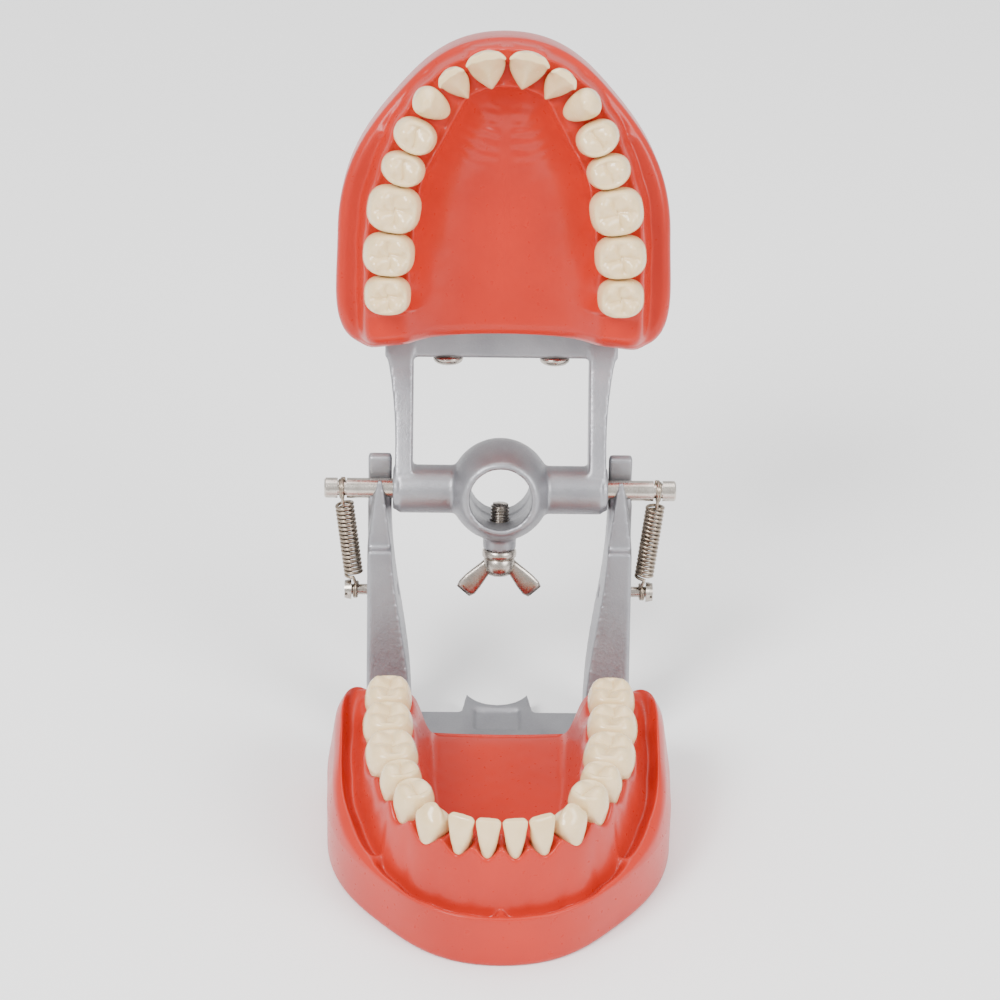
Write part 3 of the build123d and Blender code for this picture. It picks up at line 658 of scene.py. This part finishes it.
def occlusal(kind, u, v):
    """Relief of a back tooth's chewing surface: 0 in the fossa to 1 on the tallest cusp."""
    cusps = MOLAR_CUSPS if is_molar(kind) else PREMOLAR_CUSPS
    wide = 0.36 if is_molar(kind) else 0.46
    best = np.zeros_like(u)
    for cu, cv, tall in cusps:
        best = best + (tall * np.exp(-(((u - cu) / (wide * 1.15)) ** 2 + ((v - cv) / wide) ** 2))) ** 3
    relief = best ** (1 / 3)
    rim = 0.52 * smoothstep(np.hypot(u, v * 0.9), 0.55, 0.95)
    relief = np.maximum(relief, rim)
    bend = 0.10 * np.sin(3.4 * u)
    relief -= 0.30 * np.exp(-(((v - bend) / 0.09) ** 2)) * (1 - smoothstep(np.abs(u), 0.5, 0.85))
    if is_molar(kind):
        outer_groove = np.exp(-(((u + 0.06) / 0.08) ** 2)) * (v > 0)
        inner_groove = np.exp(-(((u - 0.08) / 0.08) ** 2)) * (v <= 0)
        relief -= (0.26 * outer_groove + 0.26 * inner_groove) * (1 - 0.6 * smoothstep(np.abs(v), 0.8, 1.0))
    return relief


def crown_sections(kind, upper):
    """The levels of one kind of crown, in the order stated above."""
    if "incisor" in kind:
        return UPPER_INCISOR if upper else LOWER_INCISOR
    if kind == "canine":
        lean = 0.12 if upper else 0.0
        return [
            (-0.35, 0.64, 0.80, -0.85, 2.2),
            (0.0, 0.76, 0.94, -0.95, 2.2),
            (0.3, 0.92, 1.0, -0.92, 2.2),
            (0.55, 1.0, 0.96, -0.60, 2.2),
            (0.8, 0.92, 0.74 + lean, -0.20, 2.1),
            (1.0, 0.62, 0.40 + lean, 0.02 + lean, 2.1),
        ]
    square = 2.7 if is_molar(kind) else 2.25
    return [(*level, square) for level in BACK_TOOTH]


def crown_levels(kind, upper):
    """Evenly spaced levels of a crown as shares of its height, and the smoothed section at each."""
    sections = np.array(crown_sections(kind, upper))
    levels = np.linspace(sections[0, 0], sections[-1, 0], CROWN_LEVELS)
    values = np.array([np.interp(levels, sections[:, 0], sections[:, i]) for i in range(1, 5)]).T
    for _ in range(3):
        values[1:-1] = (values[:-2] + 2 * values[1:-1] + values[2:]) / 4
    return levels, values


def tongue_side_narrowing(kind, upper):
    """How far a crown narrows towards its tongue side, and the power that delays it."""
    if is_back(kind):
        return 0.0, 1.0
    if not upper:
        return 0.22, 1.0
    return (0.26, 1.0) if kind == "canine" else (0.72, 2.6)


def signed_power(value, power):
    """Power of a signed value that keeps its sign."""
    return np.sign(value) * np.abs(value) ** power


def crown_outline(section, narrow, taper):
    """One level's outline, as shares of the crown's half width and half depth."""
    width, outer, inner, power = section
    angle = np.linspace(0, 2 * np.pi, TOOTH_STEPS, endpoint=False)
    u = signed_power(np.cos(angle), 2 / power)
    v = signed_power(np.sin(angle), 2 / power)
    reach = (outer - inner) / 2
    u = u * (1 - narrow * ((1 - v) / 2) ** taper * smoothstep(reach, 0.1, 0.7))
    return u * width, (outer + inner) / 2 + reach * v


def cap_rings(kind, section, outline, start, tall):
    """Rings that close a crown, cusped on a back tooth and slightly domed on a front one."""
    width, outer, inner, _ = section
    rim_u, rim_v = outline
    middle = (outer + inner) / 2
    caps = BACK_CAP_RINGS if is_back(kind) else FRONT_CAP_RINGS
    rings = []
    for k in range(1, caps + 1):
        share = 1 - k / caps * 0.96 if k < caps else 0.03
        u, v = rim_u * share, middle + (rim_v - middle) * share
        if is_back(kind):
            relief = occlusal(kind, u / width, (v - middle) / ((outer - inner) / 2))
            z = start + (tall - start) * (0.10 + 0.90 * relief) * smoothstep(1 - share, -0.10, 0.22)
        else:
            z = np.full(TOOTH_STEPS, start + 0.28 * math.sin(math.pi / 2 * min(1, (1 - share) * 1.6)))
        rings.append(np.stack([u, v, z], 1))
    return rings


def trim_bite(verts, kind, upper, half_w, half_d, tall):
    """Round an incisor's corners and add its lobes, or bring a canine to its point."""
    x_share = verts[:, 0] / half_w
    lift = smoothstep(verts[:, 2], 0.55 * tall, tall)
    if "incisor" in kind:
        lobe = np.cos(LOBE_RATE * x_share)
        verts[:, 2] -= lift * (0.55 * np.abs(x_share) ** 4 + 0.10 * (1 - lobe) / 2)
        if upper:
            ripple = 0.04 * lobe * lift - 0.30 * np.abs(x_share) ** 2.5
            verts[:, 1] += smoothstep(verts[:, 2], -0.1 * tall, 0.5 * tall) * ripple * half_d
    elif kind == "canine":
        verts[:, 2] -= lift * 2.1 * np.abs(x_share) ** 1.25
    verts[:, 2] = np.minimum(verts[:, 2], tall - 0.02)


def make_tooth_piece(jaw, tooth):
    """One crown as rings up its sides, closed by a cusped or edged cap."""
    upper = jaw.name == "upper"
    kind = tooth["kind"]
    half_w, half_d = tooth["width"] / 2 + 0.12, tooth["depth"] / 2
    tall = jaw.bite - jaw.ridge
    levels, values = crown_levels(kind, upper)
    narrow, taper = tongue_side_narrowing(kind, upper)
    rings = []
    for level, section in zip(levels, values):
        outline = crown_outline(section, narrow, taper)
        rings.append(np.stack([*outline, np.full(TOOTH_STEPS, level * tall)], 1))
    rings += cap_rings(kind, section, outline, level * tall, tall)
    verts = np.concatenate(rings) * [half_w, half_d, 1]
    trim_bite(verts, kind, upper, half_w, half_d, tall)
    flat = tooth["at"] + np.outer(verts[:, 0], tooth["along"]) + np.outer(verts[:, 1], tooth["out"])
    points = np.column_stack([flat, jaw.ridge + verts[:, 2]])
    obj = new_mesh(tooth["name"] + "_crown", jaw.world(points), capped_faces(len(rings), TOOTH_STEPS))
    return place(obj, jaw.body, "tooth", IVORY, tooth["name"])


# ---- castings ----
def make_casting(node, body, voxel, passes):
    """A CAD solid with its edges and joins softened as a mould leaves them; voxel is in millimetres."""
    obj = bpy.data.objects.new(node + "_casting", nodes[node].data.copy())
    bpy.context.scene.collection.objects.link(obj)
    remesh = obj.modifiers.new("even", "REMESH")
    remesh.mode = "VOXEL"
    remesh.voxel_size = voxel * MM
    relax = obj.modifiers.new("soften", "SMOOTH")
    relax.factor = 0.6
    relax.iterations = passes
    graph = bpy.context.evaluated_depsgraph_get()
    mesh = bpy.data.meshes.new_from_object(obj.evaluated_get(graph))
    obj.modifiers.clear()
    obj.data = mesh
    mesh.polygons.foreach_set("use_smooth", [True] * len(mesh.polygons))
    return place(obj, body, "cast_frame", CAST, node)


# ---- wire, screws and turned parts, in millimetres ----
def circle(steps):
    """Cosines and sines of evenly spaced angles."""
    angle = np.linspace(0, 2 * np.pi, steps, endpoint=False)
    return np.cos(angle), np.sin(angle)


def tube(name, points, radius, steps=10):
    """A round tube along a smooth line of points, capped at both ends."""
    points = np.asarray(points, float)
    tangent = np.gradient(points, axis=0)
    tangent /= np.linalg.norm(tangent, axis=1, keepdims=True)
    side = np.cross(tangent[0], [0.3, 0.5, 0.8])
    side /= np.linalg.norm(side)
    c, s = circle(steps)
    rings = []
    for p, t in zip(points, tangent):
        side = side - t * (side @ t)
        side /= np.linalg.norm(side)
        rings.append(p + radius * (np.outer(c, side) + np.outer(s, np.cross(t, side))))
    return new_mesh(name, np.concatenate(rings) * MM, capped_faces(len(points), steps))


def lathe(name, profile, origin, axis, steps=48, capped=True):
    """A turned solid whose profile is (distance along the axis, radius) from one end to the other."""
    axis = np.asarray(axis, float)
    axis /= np.linalg.norm(axis)
    u = np.cross(axis, (1, 0, 0))
    u /= np.linalg.norm(u)
    v = np.cross(axis, u)
    c, s = circle(steps)
    rings = [origin + axis * a + r * (np.outer(c, u) + np.outer(s, v)) for a, r in profile]
    faces = capped_faces(len(profile), steps) if capped else ring_faces(len(profile), steps)
    return new_mesh(name, np.concatenate(rings) * MM, faces)


# ---- springs ----
WIRE_RADIUS = 0.35
PIN_LOOP_AT = 32.55
PIN_LOOP_RADIUS = 1.95
ANCHOR_LOOP_AT = 29.75
ANCHOR_LOOP_RADIUS = 1.5
ANCHOR_LOOP_TWIST = 0.4
LOOP_HALF_WIDTH = 0.38
LOOP_STEPS = 24
COIL_RADIUS = 1.69
COIL_TURNS = 18
COIL_STEPS = 20
COIL_FROM_END = 3.3
BRIDGE_STEPS = 6


def end_loop(middle, sign, radius, twist=0.0):
    """Two turns of wire round a pin or an anchor, stepping outwards along x."""
    points = []
    for k in range(LOOP_STEPS + 1):
        a = math.pi * (0.5 - 4.0 * k / LOOP_STEPS) + twist
        step_out = sign * (-LOOP_HALF_WIDTH + 2 * LOOP_HALF_WIDTH * k / LOOP_STEPS)
        points.append(middle + np.array([step_out, radius * math.cos(a), radius * math.sin(a)]))
    return points


def bridge(start, end, bow):
    """Points between two ends of wire that bow out to the side."""
    shares = [k / BRIDGE_STEPS for k in range(1, BRIDGE_STEPS)]
    return [start * (1 - t) + end * t + bow * math.sin(math.pi * t) for t in shares]


def make_spring(hand, sign):
    """A tension spring of one wire: loop on the hinge pin, coil, loop on the anchor screw."""
    anchor_low, anchor_high = (np.array(c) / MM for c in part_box("spring_screws"))
    anchor = (anchor_low + anchor_high) / 2
    top = np.array([PIN_LOOP_AT * sign, HINGE[1], HINGE[2]])
    foot = np.array([ANCHOR_LOOP_AT * sign, anchor[1], anchor[2]])
    along = foot - top
    length = np.linalg.norm(along)
    along /= length
    side = np.cross(along, [0, 1, 0])
    side /= np.linalg.norm(side)
    front = np.cross(along, side)

    coil = []
    coil_length = length - 2 * COIL_FROM_END
    for k in range(COIL_TURNS * COIL_STEPS + 1):
        a = 2 * math.pi * k / COIL_STEPS
        d = COIL_FROM_END + coil_length * k / (COIL_TURNS * COIL_STEPS)
        coil.append(top + along * d + COIL_RADIUS * (front * math.cos(a) + side * math.sin(a)))
    pin_loop = end_loop(top, sign, PIN_LOOP_RADIUS)
    anchor_loop = end_loop(foot, sign, ANCHOR_LOOP_RADIUS, ANCHOR_LOOP_TWIST)
    points = pin_loop + bridge(pin_loop[-1], coil[0], along * 0.5 + front * 0.9)
    points += coil + bridge(coil[-1], anchor_loop[0], front * 0.5) + anchor_loop

    obj = tube(hand + "_spring_wire", points, WIRE_RADIUS)
    obj.data.materials.append(WIRE_STEEL)
    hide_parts(hand + "_spring")
    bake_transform(obj)
    return obj


# ---- clamp: distances are from the hinge axis along the clamp axis ----
SHANK_START = 2.95
SHANK_LENGTH = 11.3
SHANK_RADIUS = 1.95
SHANK_STEPS = 36
THREAD_PITCH = 0.7
THREAD_DEPTH = 0.30
THREAD_TURNS = 16
THREAD_STEPS = 10
HUB_AT = 14.4
WING_STEPS = 28
# each station of a wing: distance out, distance down from the hub's face, half width, half thickness
WING_STATIONS = [
    (1.6, 0.9, 1.3, 1.05),
    (2.8, 2.2, 1.45, 0.9),
    (4.1, 3.6, 1.75, 0.8),
    (5.4, 5.1, 2.05, 0.75),
    (6.6, 6.5, 2.15, 0.7),
    (7.4, 7.3, 1.75, 0.5),
]
COLLAR_AT = 12.62
COLLAR_BORE = 2.04
COLLAR_LENGTH = 1.76


def joined(name, pieces, slot, body, replaced):
    """Several meshes as one piece."""
    verts, faces = [], []
    for piece in pieces:
        start = len(verts)
        verts += [tuple(v.co) for v in piece.data.vertices]
        faces += [tuple(start + i for i in p.vertices) for p in piece.data.polygons]
        bpy.data.objects.remove(piece)
    obj = new_mesh(name, verts, faces)
    return place(obj, body, slot, SCREW_STEEL, replaced)


def make_shank():
    """A shank whose surface is pushed in along a helix, fading towards its tip."""
    angle = np.linspace(0, 2 * np.pi, SHANK_STEPS, endpoint=False)
    around = np.outer(np.cos(angle), X_AXIS) + np.outer(np.sin(angle), UPPER_N)
    count = THREAD_TURNS * THREAD_STEPS
    rings = []
    for k in range(count + 1):
        at = SHANK_START + k * SHANK_LENGTH / count
        phase = (at / THREAD_PITCH - angle / (2 * np.pi)) % 1
        depth = THREAD_DEPTH * smoothstep(np.abs(phase - 0.5) * 2, 0.15, 0.95)
        fade = min(1.0, (at - SHANK_START) / 0.5)
        radius = (SHANK_RADIUS - depth) * (0.82 + 0.18 * fade)
        rings.append(HINGE + CLAMP_AXIS * at + radius[:, None] * around)
    return new_mesh("shank", np.concatenate(rings) * MM, capped_faces(len(rings), SHANK_STEPS))


def make_wing(side):
    """One rounded wing, swept outwards and down from the hub."""
    c, s = circle(WING_STEPS)
    across = X_AXIS * side * 0.76 - CLAMP_AXIS * 0.65
    rings = []
    for out, down, wide, thick in WING_STATIONS:
        middle = HINGE + X_AXIS * side * out + CLAMP_AXIS * (HUB_AT + down)
        wide_part = np.outer(signed_power(c, 0.6) * wide, across)
        thin_part = np.outer(signed_power(s, 0.8) * thick, UPPER_N)
        rings.append(middle + wide_part + thin_part)
    return new_mesh("wing", np.concatenate(rings) * MM, capped_faces(len(rings), WING_STEPS))


def make_wing_screw():
    """Threaded shank, hub and two rounded wings."""
    hub = [(0.0, 1.9), (0.0, 2.9), (0.35, 3.2), (2.2, 3.2), (3.3, 2.8), (3.8, 1.9), (3.9, 0.05)]
    outline = [(HUB_AT + down, radius) for down, radius in hub]
    pieces = [make_shank(), lathe("hub", outline, HINGE, CLAMP_AXIS), make_wing(1), make_wing(-1)]
    return joined("wing_screw_turned", pieces, "screw_steel", "wing", "wing_screw")


def make_collar():
    """Polished ring with rounded edges and a bore for the screw."""
    section = [
        (0.0, COLLAR_BORE), (0.0, 3.2), (0.25, 3.5), (0.9, 3.56), (1.5, 3.5),
        (COLLAR_LENGTH, 3.2), (COLLAR_LENGTH, COLLAR_BORE), (0.0, COLLAR_BORE),
    ]
    outline = [(COLLAR_AT + down, radius) for down, radius in section]
    obj = lathe("collar_ring", outline, HINGE, CLAMP_AXIS, capped=False)
    return place(obj, "collar", "screw_steel", SCREW_STEEL, "clamp_collar")


# ---- screws in the upper plate's rear edge ----
EDGE_SCREW_AT = 11.0
EDGE_SEAT_FORWARD = 26.4
EDGE_SEAT_DEPTH = 7.5
EDGE_SHANK_LENGTH = 6.0
EDGE_SHANK_RADIUS = 1.35
# the head from its seat outwards, then down into its drive recess: (distance out, radius)
PAN_HEAD = [
    (0.0, 3.1), (0.5, 3.12), (1.0, 2.9), (1.45, 2.3),
    (1.72, 1.3), (1.76, 0.9), (1.2, 0.75), (1.2, 0.03),
]


def make_edge_screws():
    """Domed pan heads in the plate's rear edge."""
    shank = [(-EDGE_SHANK_LENGTH, 0.05), (-EDGE_SHANK_LENGTH, EDGE_SHANK_RADIUS), (0.0, EDGE_SHANK_RADIUS)]
    pieces = []
    for side in (1, -1):
        seat = HINGE + X_AXIS * side * EDGE_SCREW_AT + UPPER_P * EDGE_SEAT_FORWARD - UPPER_N * EDGE_SEAT_DEPTH
        pieces.append(lathe("pan_head", shank + PAN_HEAD, seat, -UPPER_P))
    return joined("edge_screws_turned", pieces, "screw_steel", "upper_jaw", "upper_jaw_screws")


def dress(node, material):
    """Give a CAD node that stays as it is its one material."""
    nodes[node].data.materials.clear()
    nodes[node].data.materials.append(material)


# ---- build ----
lower = Jaw("lower", LOWER_ORIGIN, LOWER_P, LOWER_N, LOWER_MOUTH_HALF)
upper = Jaw("upper", HINGE, UPPER_P, UPPER_N, UPPER_MOUTH_HALF)
for jaw in (lower, upper):
    make_slab(jaw)
    make_gum_ridge(jaw)
    for tooth in jaw.teeth:
        make_tooth_piece(jaw, tooth)

make_casting("lower_frame", "lower_jaw", 0.42, 5)
make_casting("upper_frame", "upper_jaw", 0.40, 5)
for hand, sign in (("left", 1), ("right", -1)):
    make_spring(hand, sign)
    dress(hand + "_hinge_pin", PIN_STEEL)

make_wing_screw()
make_collar()
make_edge_screws()
for node in ("spring_screws", "lower_jaw_screws", "upper_tooth_screws", "lower_tooth_screws"):
    dress(node, SCREW_STEEL)

# ---- floor, light and camera ----
FLOOR_HALF = 6.0
floor_corners = [(x * FLOOR_HALF, y * FLOOR_HALF, 0) for x, y in ((-1, -1), (1, -1), (1, 1), (-1, 1))]
floor_mesh = bpy.data.meshes.new("floor")
floor_mesh.from_pydata(floor_corners, [], [(0, 1, 2, 3)])
floor = bpy.data.objects.new("floor", floor_mesh)
bpy.context.scene.collection.objects.link(floor)
paper = Material("pale_floor", Roughness=0.85)
paper.ramp(paper.noise(3, 2), [(0.3, grey(0.955)), (0.7, grey(0.975))], "Base Color")
floor.data.materials.append(paper.mat)

world = bpy.data.worlds.new("studio")
world.use_nodes = True
background = world.node_tree.nodes["Background"]
background.inputs["Color"].default_value = (1.0, 1.0, 1.0, 1)
background.inputs["Strength"].default_value = 0.95
bpy.context.scene.world = world


def area_light(name, at, aim, size, power):
    """A square light of a size in metres and a power in watts, turned towards a point."""
    data = bpy.data.lights.new(name, "AREA")
    data.size = size
    data.energy = power
    light = bpy.data.objects.new(name, data)
    light.location = at
    light.rotation_euler = (Vector(aim) - Vector(at)).to_track_quat("-Z", "Y").to_euler()
    bpy.context.scene.collection.objects.link(light)


MIDDLE = (0, 0.02, 0.06)
area_light("key", (-0.55, -0.55, 0.85), MIDDLE, 0.45, 14)
area_light("fill", (0.7, -0.5, 0.6), MIDDLE, 0.5, 8)
area_light("top", (0.0, 0.25, 0.95), MIDDLE, 0.7, 5)

SENSOR_WIDTH = 36
FOCAL_WIDTHS = 3.395  # focal length in sensor widths
CAMERA_DISTANCE = 0.700
CAMERA_ELEVATION = math.radians(30)
CAMERA_AZIMUTH = math.radians(-1)
CAMERA_ROLL = math.radians(1.1)
AIM_DROP = 0.0022
back = Vector((
    math.sin(CAMERA_AZIMUTH) * math.cos(CAMERA_ELEVATION),
    -math.cos(CAMERA_AZIMUTH) * math.cos(CAMERA_ELEVATION),
    math.sin(CAMERA_ELEVATION),
))
facing = (-back).to_track_quat("-Z", "Y")
up = facing @ Vector((0, 1, 0))
cam_data = bpy.data.cameras.new("camera")
cam_data.sensor_width = SENSOR_WIDTH
cam_data.lens = FOCAL_WIDTHS * SENSOR_WIDTH
cam_data.clip_end = 50
camera = bpy.data.objects.new("camera", cam_data)
bpy.context.scene.collection.objects.link(camera)
aim = Vector(HINGE * MM) - up * AIM_DROP
camera.matrix_world = (
    Matrix.Translation(aim + back * CAMERA_DISTANCE)
    @ facing.to_matrix().to_4x4()
    @ Matrix.Rotation(CAMERA_ROLL, 4, "Z")
)
bpy.context.scene.camera = camera
